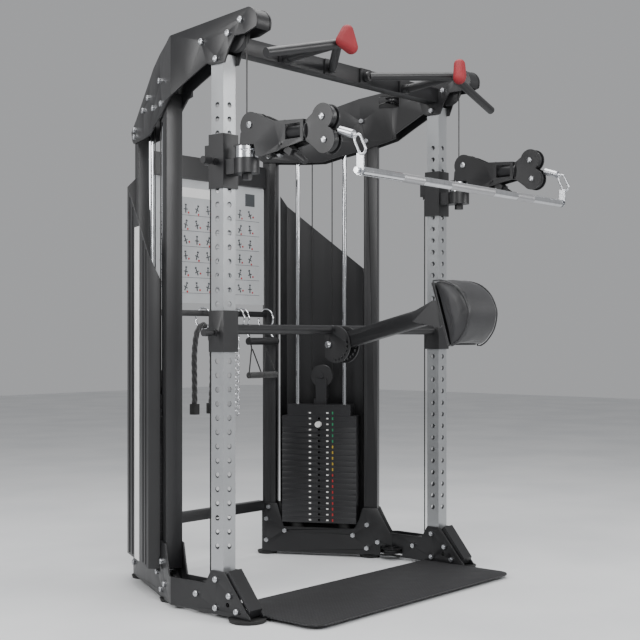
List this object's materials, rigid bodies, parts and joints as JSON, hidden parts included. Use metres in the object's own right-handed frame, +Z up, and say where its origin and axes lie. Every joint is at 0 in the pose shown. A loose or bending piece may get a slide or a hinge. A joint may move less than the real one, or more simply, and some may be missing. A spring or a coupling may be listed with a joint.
{
  "type": "functional trainer",
  "caption": "Cable machine with swivelling arms on sliding trolleys, selectorised weight stacks, a straight bar, a pull-up crossbar and a padded leg holder.",
  "frame": {"origin": "on the floor, midway between the two silver uprights and in line with their centres", "axes": "+X to the right as one faces the machine from its front, +Y to the rear, +Z up"},
  "size_m": [1.502, 1.4769, 2.1159],
  "materials": {
    "black_paint": "satin powder coat",
    "silver_paint": "satin silver powder coat",
    "chrome": "polished",
    "bolts": "zinc plated",
    "rubber": "matte",
    "red_hold": "textured resin",
    "chart": "printed panel",
    "tread": "studded tread",
    "shroud": "satin folded sheet",
    "iron": "painted machined steel",
    "pulley": "moulded nylon",
    "webbing": "woven nylon webbing",
    "rope": "twisted nylon",
    "cable": "nylon coated steel cable",
    "knob": "moulded grip",
    "white_knob": "moulded knob on a steel pin",
    "pad": "vinyl upholstery with piping"
  },
  "bodies": {
    "frame": {"uprights": "silver_paint", "front_posts": "black_paint", "rear_posts": "black_paint", "base_plates": "black_paint", "top_gussets": "black_paint", "end_covers": "black_paint", "crossbar": "black_paint", "pull_up_bars": "black_paint", "climbing_holds": "red_hold", "rear_beams": "black_paint", "chart_board": "chart", "accessory_rail": "black_paint", "foot_plate": "tread", "feet": "rubber", "guide_rods": "chrome", "stack_bumpers": "rubber", "shrouds": "shroud", "frame_bolts": "bolts", "weight_plates": "iron", "guide_pulleys": "pulley", "accessory_bar": "rubber", "strap_handles": "webbing", "rail_hooks": "chrome", "triceps_rope": "rope", "rope_stoppers": "rubber", "frame_cables": "cable"},
    "lift_left": {"lift_stack_left": "iron"},
    "selector_left": {"selector_pin_left": "white_knob"},
    "floater_left": {"floating_pulley_left": "pulley"},
    "top_wheel_left": {"top_pulley_left": "pulley"},
    "trolley_left": {"trolley_left": "black_paint"},
    "trolley_pin_left": {"trolley_pin_left": "knob"},
    "arm_left": {"arm_left": "black_paint", "arm_cable_left": "cable"},
    "arm_pin_left": {"arm_pin_left": "chrome"},
    "arm_wheel_left": {"arm_pulley_left": "pulley"},
    "head_left": {"swivel_head_left": "black_paint"},
    "head_pin_left": {"head_pin_left": "knob"},
    "head_wheel_upper_left": {"head_pulley_upper_left": "pulley"},
    "head_wheel_lower_left": {"head_pulley_lower_left": "pulley"},
    "lift_right": {"lift_stack_right": "iron"},
    "selector_right": {"selector_pin_right": "white_knob"},
    "floater_right": {"floating_pulley_right": "pulley"},
    "top_wheel_right": {"top_pulley_right": "pulley"},
    "trolley_right": {"trolley_right": "black_paint"},
    "trolley_pin_right": {"trolley_pin_right": "knob"},
    "arm_right": {"arm_right": "black_paint", "arm_cable_right": "cable"},
    "arm_pin_right": {"arm_pin_right": "chrome"},
    "arm_wheel_right": {"arm_pulley_right": "pulley"},
    "head_right": {"swivel_head_right": "black_paint"},
    "head_pin_right": {"head_pin_right": "knob"},
    "head_wheel_upper_right": {"head_pulley_upper_right": "pulley"},
    "head_wheel_lower_right": {"head_pulley_lower_right": "pulley"},
    "bar": {"straight_bar": "chrome", "bar_clips": "bolts"},
    "leg_carriage": {"leg_carriage": "black_paint"},
    "leg_pin": {"leg_pin": "knob"},
    "leg_arm": {"leg_arm": "black_paint"},
    "leg_pad": {"leg_pad": "pad"}
  },
  "joints": [
    {"name": "lift_left_slide", "type": "slide", "parent": "frame", "child": "lift_left", "axis": [0, 0, 1], "range_m": [0, 0.9], "deforming": ["frame_cables"]},
    {"name": "selector_left_slide", "type": "slide", "parent": "lift_left", "child": "selector_left", "axis": [0.8829, -0.4695, 0], "range_m": [0, 0.07]},
    {"name": "floater_left_spin", "type": "hinge", "parent": "lift_left", "child": "floater_left", "pos_m": [-0.49273, 0.52079, 0.808], "axis": [-0.8829, 0.4695, 0], "continuous": true},
    {"name": "top_wheel_left_spin", "type": "hinge", "parent": "frame", "child": "top_wheel_left", "pos_m": [-0.65, -0.06, 2.04], "axis": [1, 0, 0], "continuous": true},
    {"name": "trolley_left_slide", "type": "slide", "parent": "frame", "child": "trolley_left", "axis": [0, 0, 1], "range_m": [-0.3, 0.2], "deforming": ["frame_cables"]},
    {"name": "trolley_pin_left_slide", "type": "slide", "parent": "trolley_left", "child": "trolley_pin_left", "axis": [1, 0, 0], "range_m": [0, 0.012]},
    {"name": "arm_left_swivel", "type": "hinge", "parent": "trolley_left", "child": "arm_left", "pos_m": [-0.65, -0.115, 1.6], "axis": [0, 0, -1], "range_deg": [0, 90]},
    {"name": "arm_pin_left_slide", "type": "slide", "parent": "arm_left", "child": "arm_pin_left", "axis": [0, 1, 0], "range_m": [0, 0.012]},
    {"name": "arm_wheel_left_spin", "type": "hinge", "parent": "arm_left", "child": "arm_wheel_left", "pos_m": [-0.65, -0.155, 1.712], "axis": [1, 0, 0], "continuous": true},
    {"name": "head_left_roll", "type": "hinge", "parent": "arm_left", "child": "head_left", "pos_m": [-0.65, -0.4, 1.6665], "axis": [0, 1, 0], "range_deg": [-90, 90]},
    {"name": "head_pin_left_slide", "type": "slide", "parent": "arm_left", "child": "head_pin_left", "axis": [0, -0.8231, -0.5678], "range_m": [0, 0.012]},
    {"name": "head_wheel_upper_left_spin", "type": "hinge", "parent": "head_left", "child": "head_wheel_upper_left", "pos_m": [-0.65, -0.475, 1.705], "axis": [1, 0, 0], "continuous": true},
    {"name": "head_wheel_lower_left_spin", "type": "hinge", "parent": "head_left", "child": "head_wheel_lower_left", "pos_m": [-0.65, -0.484, 1.628], "axis": [1, 0, 0], "continuous": true},
    {"name": "lift_right_slide", "type": "slide", "parent": "frame", "child": "lift_right", "axis": [0, 0, 1], "range_m": [0, 0.9], "deforming": ["frame_cables"]},
    {"name": "selector_right_slide", "type": "slide", "parent": "lift_right", "child": "selector_right", "axis": [-0.8829, -0.4695, 0], "range_m": [0, 0.07]},
    {"name": "floater_right_spin", "type": "hinge", "parent": "lift_right", "child": "floater_right", "pos_m": [0.49273, 0.52079, 0.808], "axis": [0.8829, 0.4695, 0], "continuous": true},
    {"name": "top_wheel_right_spin", "type": "hinge", "parent": "frame", "child": "top_wheel_right", "pos_m": [0.65, -0.06, 2.04], "axis": [1, 0, 0], "continuous": true},
    {"name": "trolley_right_slide", "type": "slide", "parent": "frame", "child": "trolley_right", "axis": [0, 0, 1], "range_m": [-0.3, 0.2], "deforming": ["frame_cables"]},
    {"name": "trolley_pin_right_slide", "type": "slide", "parent": "trolley_right", "child": "trolley_pin_right", "axis": [-1, 0, 0], "range_m": [0, 0.012]},
    {"name": "arm_right_swivel", "type": "hinge", "parent": "trolley_right", "child": "arm_right", "pos_m": [0.65, -0.115, 1.6], "axis": [0, 0, 1], "range_deg": [0, 90]},
    {"name": "arm_pin_right_slide", "type": "slide", "parent": "arm_right", "child": "arm_pin_right", "axis": [0, 1, 0], "range_m": [0, 0.012]},
    {"name": "arm_wheel_right_spin", "type": "hinge", "parent": "arm_right", "child": "arm_wheel_right", "pos_m": [0.65, -0.155, 1.712], "axis": [1, 0, 0], "continuous": true},
    {"name": "head_right_roll", "type": "hinge", "parent": "arm_right", "child": "head_right", "pos_m": [0.65, -0.4, 1.6665], "axis": [0, 1, 0], "range_deg": [-90, 90]},
    {"name": "head_pin_right_slide", "type": "slide", "parent": "arm_right", "child": "head_pin_right", "axis": [0, -0.8231, -0.5678], "range_m": [0, 0.012]},
    {"name": "head_wheel_upper_right_spin", "type": "hinge", "parent": "head_right", "child": "head_wheel_upper_right", "pos_m": [0.65, -0.475, 1.705], "axis": [1, 0, 0], "continuous": true},
    {"name": "head_wheel_lower_right_spin", "type": "hinge", "parent": "head_right", "child": "head_wheel_lower_right", "pos_m": [0.65, -0.484, 1.628], "axis": [1, 0, 0], "continuous": true},
    {"name": "bar_pull", "type": "slide", "parent": "arm_left", "child": "bar", "axis": [0, -0.9487, -0.3162], "range_m": [0, 1.8]},
    {"name": "leg_carriage_slide", "type": "slide", "parent": "frame", "child": "leg_carriage", "axis": [0, 0, 1], "range_m": [-0.65, 0.25]},
    {"name": "leg_pin_slide", "type": "slide", "parent": "leg_carriage", "child": "leg_pin", "axis": [1, 0, 0], "range_m": [0, 0.012]},
    {"name": "leg_arm_tilt", "type": "hinge", "parent": "leg_carriage", "child": "leg_arm", "pos_m": [-0.039, 0.005, 0.955], "axis": [1, 0, 0], "range_deg": [-10, 70]},
    {"name": "leg_pad_tilt", "type": "hinge", "parent": "leg_arm", "child": "leg_pad", "pos_m": [-0.03, -0.429, 1.058], "axis": [1, 0, 0], "range_deg": [-15, 15]}
  ],
  "couplings": [
    {"joint": "lift_left_slide", "follows": "bar_pull", "ratio": 0.5},
    {"joint": "lift_right_slide", "follows": "bar_pull", "ratio": 0.5}
  ]
}
